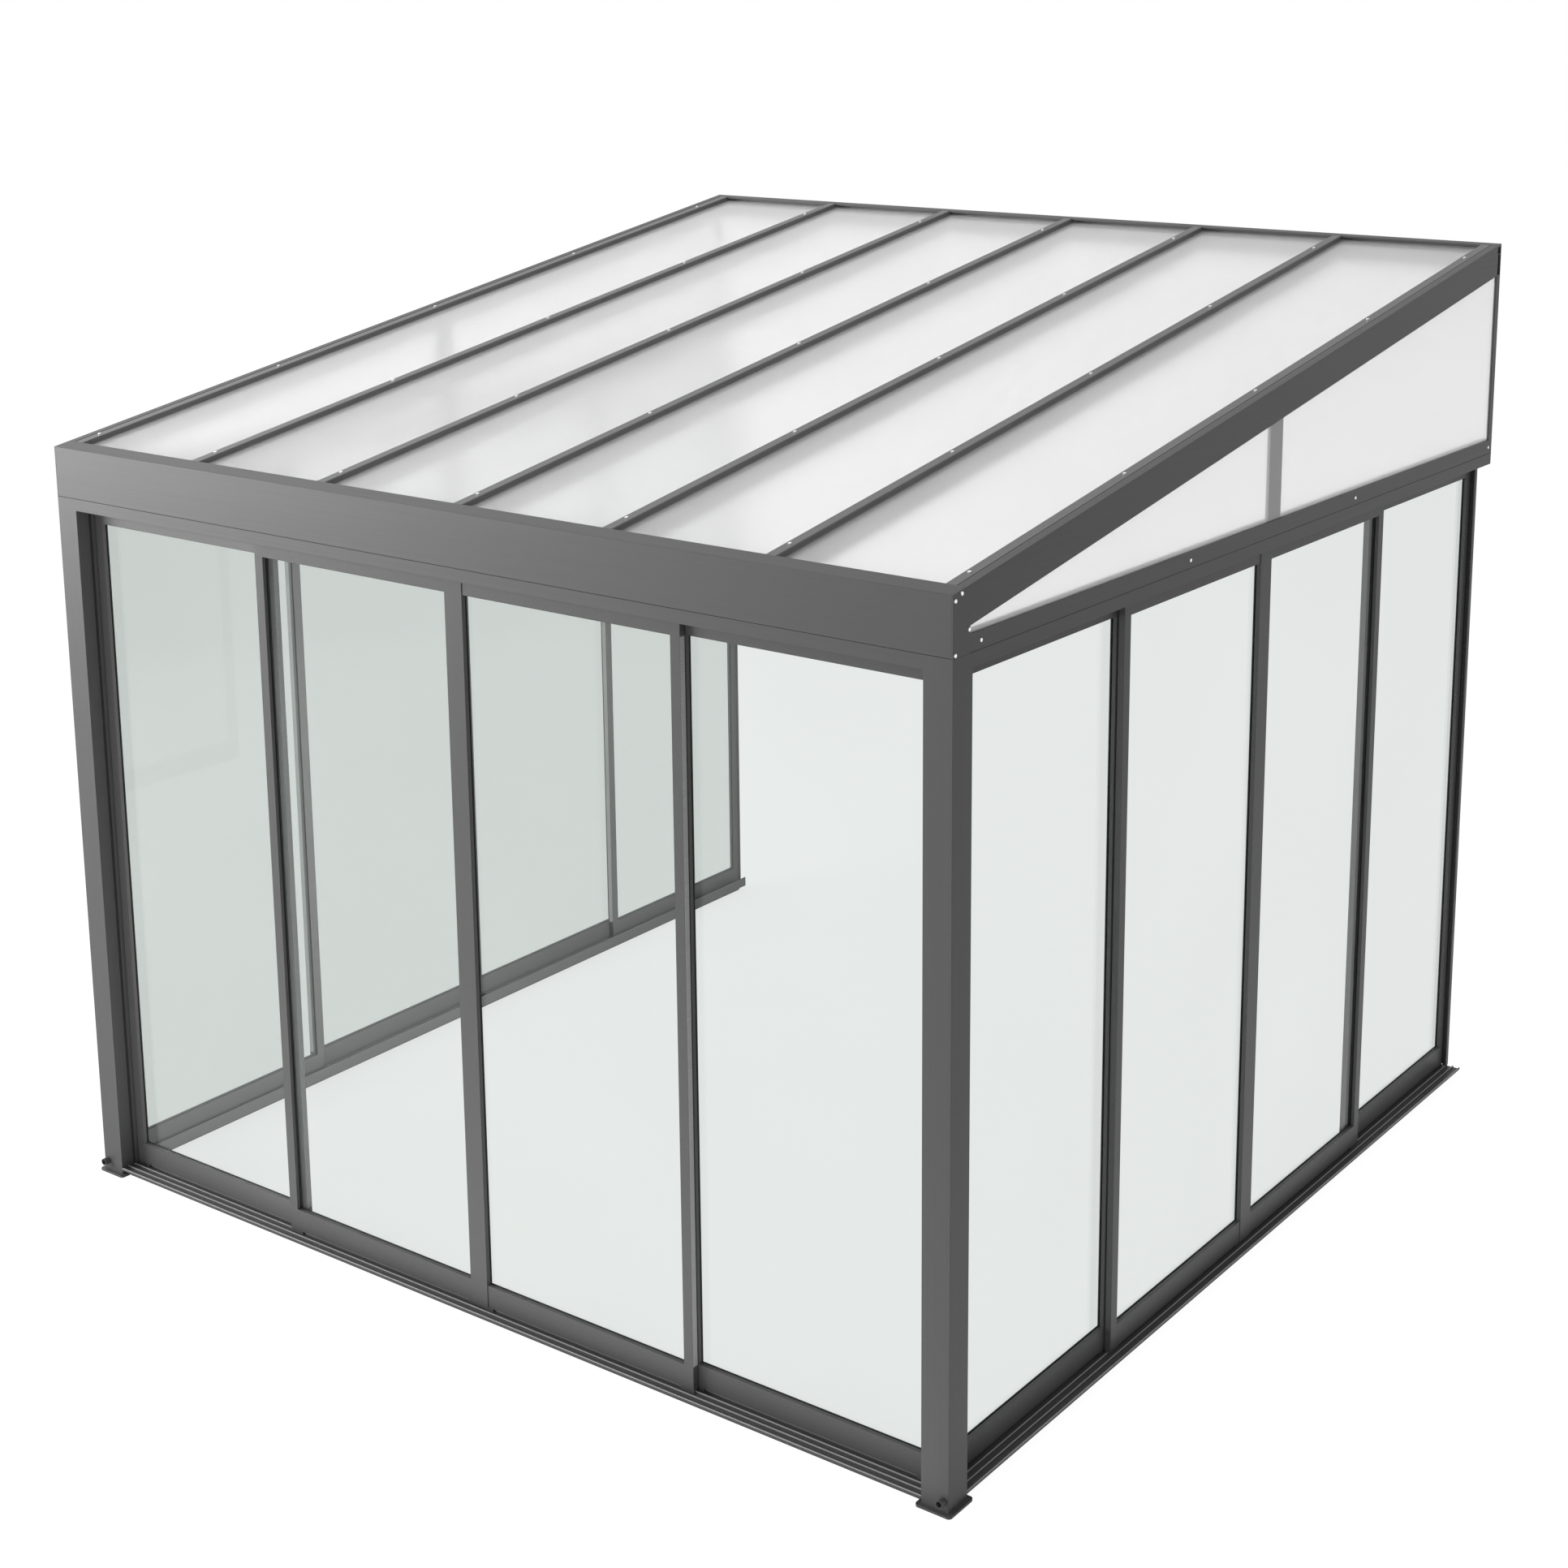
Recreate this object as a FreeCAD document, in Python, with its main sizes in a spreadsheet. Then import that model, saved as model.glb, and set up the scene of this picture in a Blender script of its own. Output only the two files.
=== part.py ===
import FreeCAD, Part
import math
import os
import Sketcher

# A lean-to conservatory: an aluminium frame against a house wall, frosted roof sheets, and a glazed
# front and sides of four sliding doors each. X runs along the house wall, Y from the front to the
# wall and Z up. The origin is on the floor, in the middle of the space that the object takes.

SIZES = {
    # whole frame
    "width": 3060,
    "depth": 2982,
    "gutter_base": 2067.5,
    "gutter_height": 142.5,
    "roof_pitch": 9.6,
    "profile_wall": 2.5,
    "seat_gap": 0.3,
    # posts, base plates and drain spouts
    "post_side": 78,
    "plate_thick": 6,
    "plate_margin": 12,
    "plate_corner": 10,
    "anchor_offset": 6,
    "anchor_radius": 3.3,
    "spout_radius": 10,
    "spout_bore": 8,
    "spout_reach": 18,
    "spout_root": 12,
    "spout_root_radius": 9,
    "spout_height": 34,
    "spout_inset": 15.5,
    # gutter
    "lip_run": 53.5,
    "lip_thick": 4,
    "end_cap_thick": 3,
    "end_cap_screw_inset": 7,
    "outlet_radius": 17,
    "outlet_bore": 15,
    "outlet_drop": 25,
    "outlet_flange": 22,
    "outlet_flange_thick": 2,
    # rafters, cap strips and roof sheets
    "rafter_drop": 91,
    "rafter_width": 32,
    "rafter_boss": 10,
    "cap_rise": 14,
    "cap_wall": 3,
    "cap_chamfer": 2,
    "fascia_width": 23,
    "fascia_groove": 2,
    "sheet_thick": 10,
    "sheet_spacing": 12,
    "sheet_tuck": 14,
    "sheet_gap": 1,
    "bay_count": 6,
    "roof_screw_first": 73,
    "roof_screw_last": 159,
    # wall beam
    "wall_beam_depth": 25,
    "wall_beam_lip": 6,
    "wall_beam_back": 4,
    "wall_hole_radius": 4.5,
    "wall_access_radius": 9,
    # side beams and gables
    "beam_width": 36.5,
    "beam_height": 42.5,
    "beam_screw_first": 40,
    "beam_screw_last": 30,
    "gable_thick": 8,
    "gable_inset": 4,
    "stud_width": 72,
    "stud_depth": 8,
    # tracks
    "track_middle": 44,
    "track_pitch": 21.2,
    "ridge_thick": 3,
    "sill_base": 17,
    "sill_top": 25,
    "sill_foot_width": 4,
    "sill_foot_first": 18,
    "sill_foot_second": 56,
    "upstand_thick": 2.5,
    "upstand_top": 52,
    "head_height": 34.5,
    "fin_drop": 18,
    # jambs and brush seals
    "jamb_thick": 5,
    "jamb_front": 41,
    "jamb_cover": 16,
    "jamb_flange": 3,
    "jamb_hole_radius": 3.3,
    "post_jamb_front": 46,
    "seal_width": 6,
    "seal_height": 4,
    "wall_seal_reach": 10,
    # doors
    "door_thick": 17.4,
    "door_base": 30,
    "door_end_gap": 8,
    "door_overlap": 37.5,
    "meeting_gap": 0.6,
    "front_pair_shift": -9,
    "side_pair_shift": 11,
    "bottom_rail": 63.5,
    "top_rail": 54,
    "top_rail_gap": 5.5,
    "stile_width": 30,
    "strip_thick": 2,
    "door_wall": 1.6,
    "glass_setback": 10.5,
    "glass_thick": 4,
    "glass_bite": 9,
    "block_plate": 2,
    "block_plug": 40,
    "block_foot": 45,
    "foot_inset": 2,
    "foot_reach": 5,
    "groove_gap": 0.4,
    "fork_rise": 12,
    # screws
    "screw_head_radius": 4.5,
    "screw_head_rise": 3,
    "roof_shank_radius": 2.1,
    "roof_shank": 22,
    "frame_shank_radius": 1.8,
    "frame_shank": 9,
    "screw_gap": 0.2,
}

doc = FreeCAD.newDocument("lean_to_conservatory")
sheet = doc.addObject("Spreadsheet::Sheet", "Sizes")


class Size:
    """A number, in millimetres or degrees, with the formula that gives it from the sheet."""

    def __init__(self, value, formula):
        self.value = value
        self.formula = formula

    def __add__(self, other):
        other = as_size(other)
        return Size(self.value + other.value, f"({self.formula} + {other.formula})")

    def __sub__(self, other):
        other = as_size(other)
        return Size(self.value - other.value, f"({self.formula} - {other.formula})")

    def __mul__(self, other):
        other = as_size(other)
        return Size(self.value * other.value, f"({self.formula} * {other.formula})")

    def __truediv__(self, other):
        other = as_size(other)
        return Size(self.value / other.value, f"({self.formula} / {other.formula})")

    def __neg__(self):
        return Size(-self.value, f"(0 - {self.formula})")

    def __rsub__(self, other):
        return as_size(other) - self

    __radd__ = __add__
    __rmul__ = __mul__


def as_size(number):
    """A plain number as a Size, and a Size as it is."""
    if isinstance(number, Size):
        return number
    return Size(number, str(number) if number >= 0 else f"(0 - {-number})")


def driving_size(row, alias, number):
    """Writes one driving size to its row of the sheet and returns it as a Size."""
    sheet.set(f"A{row}", alias)
    sheet.set(f"B{row}", str(number))
    sheet.setAlias(f"B{row}", alias)
    return Size(number, f"Sizes.{alias}")


size = {alias: driving_size(row, alias, number) for row, (alias, number) in enumerate(SIZES.items(), 1)}
doc.recompute()


def cosine(angle):
    return Size(math.cos(math.radians(angle.value)), f"cos({angle.formula})")


def sine(angle):
    return Size(math.sin(math.radians(angle.value)), f"sin({angle.formula})")


def bind(thing, setting, amount):
    """Sets a property from a Size and ties it to the sheet."""
    amount = as_size(amount)
    if "Sizes." in amount.formula:
        thing.setExpression(setting, amount.formula)


def place(thing, x=0, y=0, z=0, axis=(0, 0, 1), turn=0):
    """Puts a piece at x, y, z, turned about one axis, with each value tied to the sheet."""
    x, y, z, turn = (as_size(amount) for amount in (x, y, z, turn))
    spot = FreeCAD.Vector(x.value, y.value, z.value)
    thing.Placement = FreeCAD.Placement(spot, FreeCAD.Rotation(FreeCAD.Vector(*axis), turn.value))
    bind(thing, "Placement.Base.x", x)
    bind(thing, "Placement.Base.y", y)
    bind(thing, "Placement.Base.z", z)
    bind(thing, "Placement.Rotation.Angle", turn)
    return thing


def closed_outline(sketch, corners):
    """Adds a closed polygon, each corner held by its two distances from the sketch's origin."""
    corners = [(as_size(across), as_size(up)) for across, up in corners]
    first = sketch.GeometryCount
    count = len(corners)
    points = [FreeCAD.Vector(across.value, up.value, 0) for across, up in corners]
    sketch.addGeometry([Part.LineSegment(points[i], points[(i + 1) % count]) for i in range(count)])
    for i, (across, up) in enumerate(corners):
        sketch.addConstraint(Sketcher.Constraint("Coincident", first + i, 2, first + (i + 1) % count, 1))
        for kind, distance in (("DistanceX", across), ("DistanceY", up)):
            held = Sketcher.Constraint(kind, -1, 1, first + i, 1, distance.value)
            bind(sketch, f"Constraints[{sketch.addConstraint(held)}]", distance)


def bar(name, axis, length, *outlines):
    """A straight profile along x, y or z: an outline, less any chambers inside it, padded to length.
    The outline's corners are (y, z) for a profile along x, (x, z) along y and (x, y) along z."""
    body = doc.addObject("PartDesign::Body", name)
    sketch = body.newObject("Sketcher::SketchObject", f"{name}_section")
    role = {"x": "YZ_Plane", "y": "XZ_Plane", "z": "XY_Plane"}[axis]
    sketch.AttachmentSupport = [(plane, "") for plane in body.Origin.OriginFeatures if plane.Role == role]
    sketch.MapMode = "FlatFace"
    for outline in outlines:
        closed_outline(sketch, outline)
    pad = body.newObject("PartDesign::Pad", f"{name}_pad")
    pad.Profile = sketch
    pad.Reversed = axis == "y"
    pad.Length = as_size(length).value
    bind(pad, "Length", length)
    return body


def block(name, low, high):
    """A box between two corners."""
    box = doc.addObject("Part::Box", name)
    for setting, start, end in zip(("Length", "Width", "Height"), low, high):
        extent = as_size(end) - start
        setattr(box, setting, extent.value)
        bind(box, setting, extent)
    return place(box, *low)


def rod(name, axis, radius, length, start):
    """A cylinder that runs from start along x, y or z."""
    cylinder = doc.addObject("Part::Cylinder", name)
    cylinder.Radius = as_size(radius).value
    cylinder.Height = as_size(length).value
    bind(cylinder, "Radius", radius)
    bind(cylinder, "Height", length)
    turned = {"x": ((0, 1, 0), 90), "y": ((1, 0, 0), -90), "z": ((0, 0, 1), 0)}[axis]
    return place(cylinder, *start, axis=turned[0], turn=turned[1])


def group(name, pieces):
    """Several pieces as separate solids of one object."""
    together = doc.addObject("Part::Compound", name)
    together.Links = pieces
    return together


def fuse(name, pieces):
    joined = doc.addObject("Part::MultiFuse", name)
    joined.Shapes = pieces
    return joined


def cut(name, piece, tools):
    """A piece less one or more tools that don't overlap each other."""
    less = doc.addObject("Part::Cut", name)
    less.Base = piece
    less.Tool = tools[0] if len(tools) == 1 else group(f"{name}_tools", tools)
    return less


def copy(name, piece, **where):
    """The same piece in another place."""
    return place(group(name, [piece]), **where)


def mirrored(name, piece, middle=0):
    """A piece mirrored left to right about the plane x = middle."""
    image = doc.addObject("Part::Mirroring", name)
    image.Source = piece
    image.Normal = FreeCAD.Vector(1, 0, 0)
    image.Base = FreeCAD.Vector(as_size(middle).value, 0, 0)
    bind(image, "Base.x", middle)
    return image


def rectangle(left, low, right, high):
    return [(left, low), (right, low), (right, high), (left, high)]


nodes = []


def node(name, piece):
    """Names a finished piece and adds it to those that are written out."""
    piece.Label = name
    nodes.append(piece)
    return piece


def both_sides(name, right_piece):
    """One node that holds a piece of the right-hand side and its mirror image."""
    return node(name, group(name, [right_piece, mirrored(f"{name}_left", right_piece)]))


# Places that several pieces share. Distances y are from the front faces of the posts, and the whole
# frame is moved by front at the end, so that the origin is in the middle.

wall = size["profile_wall"]
gap = size["seat_gap"]
half_width = size["width"] / 2
depth = size["depth"]
post = size["post_side"]
front = (size["spout_reach"] - depth) / 2
pitch = size["roof_pitch"]
rise = sine(pitch)
run = cosine(pitch)
slope = rise / run

# The roof's own frame starts at the inner edge of the gutter's lip and is turned by the pitch.
gutter_base = size["gutter_base"]
gutter_top = gutter_base + size["gutter_height"]
eaves_y = size["lip_run"] * run
eaves_z = gutter_top + size["lip_run"] * rise
rafter_drop = size["rafter_drop"]
gutter_back = eaves_y + rafter_drop * rise
gutter_back_top = eaves_z - rafter_drop * run
wall_face = depth - size["wall_beam_depth"]
beam_top = gutter_base + size["beam_height"]
head_base = gutter_base - size["head_height"]


def roof_top(y):
    """Height of the top plane of the roof at a distance y from the front."""
    return gutter_top + slope * y


def rafter_foot(y):
    """Height of the underside of the rafters at a distance y from the front."""
    return gutter_back_top + slope * (y - gutter_back)


def on_roof(name, piece):
    """A piece made along y in the roof's own frame, laid at the pitch and cut off at the wall beam."""
    laid = copy(f"{name}_laid", piece, y=eaves_y, z=eaves_z, axis=(1, 0, 0), turn=pitch)
    beyond = (-half_width, wall_face, 0), (half_width, wall_face + depth, roof_top(2 * depth))
    return cut(f"{name}_cut", laid, [block(f"{name}_beyond", *beyond)])


def in_frame(name, piece, x=0):
    """A piece made with y from the front of the posts, moved to the middle of the frame."""
    return copy(name, piece, x=x, y=front)


# Posts: hollow square tubes that stand on the base plates and carry the gutter's water down.
post_in = half_width - post
post_tube = bar(
    "post_tube",
    "z",
    gutter_base - size["plate_thick"],
    rectangle(post_in, 0, half_width, post),
    rectangle(post_in + wall, wall, half_width - wall, post - wall),
)
place(post_tube, z=size["plate_thick"])
spout_x = half_width - size["spout_inset"]
spout_z = size["spout_height"]
spout_hole_radius = size["spout_root_radius"] + gap
spout_hole = rod("spout_hole", "y", spout_hole_radius, 4 * wall, (spout_x, -wall, spout_z))
right_post = node("right_post", in_frame("right_post", cut("post_drilled", post_tube, [spout_hole])))
node("left_post", mirrored("left_post", right_post))

# Base plates: flat steel with rounded corners and two anchor holes on one diagonal.
margin = size["plate_margin"]
plate_square = rectangle(post_in - margin, -margin, half_width + margin, post + margin)
plate_body = bar("plate_body", "z", size["plate_thick"], plate_square)
doc.recompute()
plate_pad = plate_body.Tip
upright = [
    f"Edge{i}"
    for i, edge in enumerate(plate_pad.Shape.Edges, 1)
    if abs(edge.tangentAt(edge.FirstParameter).z) > 0.99
]
plate_round = plate_body.newObject("PartDesign::Fillet", "plate_round")
plate_round.Base = (plate_pad, upright)
plate_round.Radius = size["plate_corner"].value
bind(plate_round, "Radius", size["plate_corner"])
anchor = size["anchor_offset"]
anchor_spots = [(post_in - anchor, -anchor), (half_width + anchor, post + anchor)]
anchor_holes = [
    rod(f"anchor_hole_{i}", "z", size["anchor_radius"], 3 * size["plate_thick"], (x, y, -size["plate_thick"]))
    for i, (x, y) in enumerate(anchor_spots, 1)
]
both_sides("base_plates", in_frame("right_base_plate", cut("plate_drilled", plate_body, anchor_holes)))

# Drain spouts: short tubes for a hose. Each has a shoulder on the post's front face and a root through it.
spout_start = (spout_x, -size["spout_reach"], spout_z)
spout_length = size["spout_reach"] + size["spout_root"]
spout_body = fuse(
    "spout_body",
    [
        rod("spout_end", "y", size["spout_radius"], size["spout_reach"], spout_start),
        rod("spout_root", "y", size["spout_root_radius"], size["spout_root"], (spout_x, 0, spout_z)),
    ],
)
spout_bore = rod("spout_bore", "y", size["spout_bore"], spout_length, spout_start)
spout_tube = cut("spout_tube", spout_body, [spout_bore])
both_sides("drain_spouts", in_frame("right_drain_spout", spout_tube))


# Gutter: a trough of four long profiles, a deep front face, a floor, a back wall and a lip on top. The
# lip follows the pitch, and the roof sheets reach into the slot between it and the slanted back wall.
def roof_point(along, up):
    """A point of the roof's own frame as (y, z)."""
    along, up = as_size(along), as_size(up)
    return eaves_y + along * run - up * rise, eaves_z + along * rise + up * run


sheet_top = -size["cap_rise"]
sheet_under = sheet_top - size["sheet_thick"]
gutter_length = size["width"] - 2 * size["end_cap_thick"]
trough_floor = gutter_base + wall
lip_drop = size["lip_thick"] / run
back_in = gutter_back - wall
gutter_outlines = {
    "face": [
        (0, gutter_base),
        (wall, gutter_base),
        (wall, roof_top(wall) - lip_drop),
        (0, gutter_top - lip_drop),
    ],
    "lip": [
        (0, gutter_top - lip_drop),
        roof_point(0, -size["lip_thick"]),
        roof_point(0, 0),
        (0, gutter_top),
    ],
    "floor": rectangle(wall, gutter_base, back_in, trough_floor),
    "back": [
        (back_in, gutter_base),
        (gutter_back, gutter_base),
        (gutter_back, gutter_back_top),
        roof_point(0, sheet_under - gap),
        roof_point(-wall, sheet_under - gap),
        (back_in, gutter_back_top),
    ],
}
gutter_bars = {
    name: place(bar(f"gutter_{name}", "x", gutter_length, outline), x=-gutter_length / 2)
    for name, outline in gutter_outlines.items()
}
outlet_x = half_width - post / 2
outlet_y = gutter_back / 2
outlet_holes = [
    rod(f"outlet_hole_{side}", "z", size["outlet_radius"] + gap, 3 * wall, (x, outlet_y, gutter_base - wall))
    for side, x in (("left", -outlet_x), ("right", outlet_x))
]
gutter_bars["floor"] = cut("gutter_floor_drilled", gutter_bars["floor"], outlet_holes)
node("gutter", in_frame("gutter", group("gutter_bars", list(gutter_bars.values()))))

# Gutter end caps: flat plates with the gutter's outline, each held by four screws.
cap_outline = [
    (0, gutter_base),
    (0, gutter_top),
    roof_point(0, 0),
    (gutter_back, gutter_back_top),
    (gutter_back, gutter_base),
]
end_cap_plate = bar("end_cap_plate", "x", size["end_cap_thick"], cap_outline)
place(end_cap_plate, x=half_width - size["end_cap_thick"])
inset = size["end_cap_screw_inset"]
end_cap_screws = [
    (inset, gutter_top - 2 * inset),
    (inset, gutter_base + inset),
    (eaves_y * 0.6, roof_top(eaves_y * 0.6) - inset),
    (gutter_back - inset, gutter_back_top - inset),
]


def screw_hole(name, spot):
    """A hole along x through the outer wall of the right-hand side, for a frame screw at (y, z)."""
    radius = size["frame_shank_radius"] + size["screw_gap"]
    return rod(name, "x", radius, 2 * size["frame_shank"], (half_width - size["frame_shank"], *spot))


end_cap_holes = [screw_hole(f"end_cap_hole_{i}", spot) for i, spot in enumerate(end_cap_screws, 1)]
both_sides("gutter_end_caps", in_frame("right_end_cap", cut("end_cap_drilled", end_cap_plate, end_cap_holes)))

# Gutter outlets: flanged sleeves that lead the water from the trough into the posts.
outlet_low = (outlet_x, outlet_y, gutter_base - size["outlet_drop"])
outlet_long = size["outlet_drop"] + wall + size["outlet_flange_thick"]
outlet_flange_spot = (outlet_x, outlet_y, trough_floor)
outlet_body = fuse(
    "outlet_body",
    [
        rod("outlet_sleeve", "z", size["outlet_radius"], outlet_long, outlet_low),
        rod("outlet_flange", "z", size["outlet_flange"], size["outlet_flange_thick"], outlet_flange_spot),
    ],
)
outlet_bore = rod("outlet_bore", "z", size["outlet_bore"], outlet_long, outlet_low)
both_sides("gutter_outlets", in_frame("right_outlet", cut("outlet_bored", outlet_body, [outlet_bore])))

# Wall beam: a box along the house wall that the rafters end on, with an upstand and a lip over the
# upper edge of the roof sheets. Wall bolts pass through the box in the middle of each bay.
box_top = roof_top(wall_face) + sheet_under / run - size["sheet_gap"]
beam_low = rafter_foot(wall_face)
back_face = depth - size["wall_beam_back"]
lip_edge = size["wall_beam_lip"]
wall_beam_outline = [
    (wall_face, beam_low),
    (depth, beam_low),
    (depth, roof_top(depth)),
    (wall_face, roof_top(wall_face)),
    (wall_face, roof_top(wall_face) - lip_edge),
    (back_face, roof_top(back_face) - lip_edge),
    (back_face, box_top),
    (wall_face, box_top),
]
wall_beam_chamber = rectangle(wall_face + wall, beam_low + wall, depth - wall, box_top - wall)
wall_beam_bar = bar("wall_beam_bar", "x", size["width"], wall_beam_outline, wall_beam_chamber)
place(wall_beam_bar, x=-half_width)
cap_line = half_width - size["fascia_width"] - size["fascia_groove"] - size["rafter_width"] / 2
bay = 2 * cap_line / size["bay_count"]
bays = SIZES["bay_count"]
bay_middles = [(i + 0.5) * bay - cap_line for i in range(bays)]
rafter_lines = [i * bay - cap_line for i in range(bays + 1)]
bolt_z = (beam_low + box_top) / 2
wall_holes = [
    rod(f"wall_hole_{i}", "y", size["wall_hole_radius"], 4 * wall, (x, depth - 2 * wall, bolt_z))
    for i, x in enumerate(bay_middles, 1)
]
access_holes = [
    rod(f"access_hole_{i}", "y", size["wall_access_radius"], 4 * wall, (x, wall_face - 2 * wall, bolt_z))
    for i, x in enumerate(bay_middles, 1)
]
node("wall_beam", in_frame("wall_beam", cut("wall_beam_drilled", wall_beam_bar, wall_holes + access_holes)))

# Rafters: tubes under the joints of the roof sheets. A boss on top takes the screws of the cap strip.
roof_length = (wall_face - eaves_y) / run + rafter_drop
cap_half = size["rafter_width"] / 2
boss_half = size["rafter_boss"] / 2
boss_top = -size["cap_wall"]
roof_screw_end = (wall_face - eaves_y) / run - size["roof_screw_last"]
roof_screw_step = (roof_screw_end - size["roof_screw_first"]) / 4
roof_screw_spots = [size["roof_screw_first"] + i * roof_screw_step for i in range(5)]
shank_hole = size["roof_shank_radius"] + size["screw_gap"]
shank_reach = size["roof_shank"] + gap


def roof_screw_holes(name):
    """Five holes square to the roof along one rafter line, from above the cap strip down."""
    return [
        rod(f"{name}_hole_{i}", "z", shank_hole, 2 * shank_reach, (0, along, -shank_reach))
        for i, along in enumerate(roof_screw_spots, 1)
    ]


rafter_outline = [
    (-cap_half, -rafter_drop),
    (cap_half, -rafter_drop),
    (cap_half, sheet_under),
    (boss_half, sheet_under),
    (boss_half, boss_top),
    (-boss_half, boss_top),
    (-boss_half, sheet_under),
    (-cap_half, sheet_under),
]
rafter_chamber = rectangle(wall - cap_half, wall - rafter_drop, cap_half - wall, sheet_under - wall)
rafter_bar = bar("rafter_bar", "y", roof_length, rafter_outline, rafter_chamber)
rafter = on_roof("rafter", cut("rafter_drilled", rafter_bar, roof_screw_holes("rafter")))
inner_rafters = [in_frame(f"rafter_{i}", rafter, x) for i, x in enumerate(rafter_lines[1:-1], 1)]
node("inner_rafters", group("inner_rafters", inner_rafters))

# End rafters: deeper boxes whose outer face is the sloping fascia of the gable.
fascia_in = cap_half + size["fascia_groove"]
fascia_out = fascia_in + size["fascia_width"]
end_rafter_outline = [
    (wall - cap_half, -rafter_drop),
    (fascia_out, -rafter_drop),
    (fascia_out, 0),
    (fascia_in, 0),
    (fascia_in, sheet_top),
    (boss_half, sheet_top),
    (boss_half, boss_top),
    (-boss_half, boss_top),
    (-boss_half, sheet_under),
    (wall - cap_half, sheet_under),
]
end_rafter_chamber = [
    (2 * wall - cap_half, wall - rafter_drop),
    (fascia_out - wall, wall - rafter_drop),
    (fascia_out - wall, -wall),
    (fascia_in + wall, -wall),
    (fascia_in + wall, sheet_under - wall),
    (2 * wall - cap_half, sheet_under - wall),
]
end_rafter_bar = bar("end_rafter_bar", "y", roof_length, end_rafter_outline, end_rafter_chamber)
end_rafter_drilled = cut("end_rafter_drilled", end_rafter_bar, roof_screw_holes("end_rafter"))
end_rafter = copy("end_rafter_out", end_rafter_drilled, x=cap_line)
both_sides("end_rafters", in_frame("right_end_rafter", on_roof("end_rafter", end_rafter)))

# Rafter caps: strips that clamp the edges of the roof sheets, with softened upper edges.
chamfer = size["cap_chamfer"]
cap_wall = size["cap_wall"]
strip_outline = [
    (-cap_half, sheet_top),
    (cap_wall - cap_half, sheet_top),
    (cap_wall - cap_half, boss_top),
    (cap_half - cap_wall, boss_top),
    (cap_half - cap_wall, sheet_top),
    (cap_half, sheet_top),
    (cap_half, -chamfer),
    (cap_half - chamfer, 0),
    (chamfer - cap_half, 0),
    (-cap_half, -chamfer),
]
strip_bar = bar("strip_bar", "y", roof_length, strip_outline)
strip = on_roof("strip", cut("strip_drilled", strip_bar, roof_screw_holes("strip")))
strips = [in_frame(f"strip_{i}", strip, x) for i, x in enumerate(rafter_lines, 1)]
node("rafter_caps", group("rafter_caps", strips))

# Roof panels: frosted sheets that lie on the rafters, from the gutter's slot to under the wall beam's lip.
sheet_half = (bay - size["sheet_spacing"]) / 2
sheet_end = (back_face - size["wall_beam_back"] - eaves_y) / run
roof_sheet = block(
    "roof_sheet",
    (-sheet_half, -size["sheet_tuck"], sheet_under),
    (sheet_half, sheet_end, sheet_top),
)
laid_sheet = copy("laid_sheet", roof_sheet, y=eaves_y, z=eaves_z, axis=(1, 0, 0), turn=pitch)
roof_sheets = [in_frame(f"sheet_{i}", laid_sheet, x) for i, x in enumerate(bay_middles, 1)]
node("roof_panels", group("roof_panels", roof_sheets))

# Roof screws: five pan heads on every cap strip, with shanks into the rafter's boss.
roof_screw = fuse(
    "roof_screw",
    [
        rod("roof_head", "z", size["screw_head_radius"], size["screw_head_rise"], (0, 0, 0)),
        rod("roof_shank", "z", size["roof_shank_radius"], size["roof_shank"], (0, 0, -size["roof_shank"])),
    ],
)
screw_row = group(
    "screw_row",
    [copy(f"row_screw_{i}", roof_screw, y=along) for i, along in enumerate(roof_screw_spots, 1)],
)
laid_row = copy("laid_row", screw_row, y=eaves_y, z=eaves_z, axis=(1, 0, 0), turn=pitch)
screw_rows = [in_frame(f"screw_row_{i}", laid_row, x) for i, x in enumerate(rafter_lines, 1)]
node("roof_screws", group("roof_screws", screw_rows))

# Side beams: boxes over the side tracks that carry the gables, each with four screws.
beam_in = half_width - size["beam_width"]
beam_length = depth - gutter_back
beam_bar = bar(
    "beam_bar",
    "y",
    beam_length,
    rectangle(beam_in, gutter_base, half_width, beam_top),
    rectangle(beam_in + wall, gutter_base + wall, half_width - wall, beam_top - wall),
)
place(beam_bar, y=gutter_back)
beam_screw_low = gutter_back + size["beam_screw_first"]
beam_screw_step = (beam_length - size["beam_screw_first"] - size["beam_screw_last"]) / 3
beam_screw_z = (gutter_base + beam_top) / 2
beam_screws = [(beam_screw_low + i * beam_screw_step, beam_screw_z) for i in range(4)]
beam_holes = [screw_hole(f"beam_hole_{i}", spot) for i, spot in enumerate(beam_screws, 1)]
both_sides("side_beams", in_frame("right_side_beam", cut("beam_drilled", beam_bar, beam_holes)))

# Frame screws: pan heads with short shanks, on the gutter end caps and the side beams.
shank_long = size["frame_shank"]
frame_screw = fuse(
    "frame_screw",
    [
        rod("frame_head", "x", size["screw_head_radius"], size["screw_head_rise"], (0, 0, 0)),
        rod("frame_shank", "x", size["frame_shank_radius"], shank_long, (-shank_long, 0, 0)),
    ],
)
side_screws = [
    copy(f"side_screw_{i}", frame_screw, x=half_width, y=front + y, z=z)
    for i, (y, z) in enumerate(end_cap_screws + beam_screws, 1)
]
both_sides("frame_screws", group("right_frame_screws", side_screws))

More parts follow.
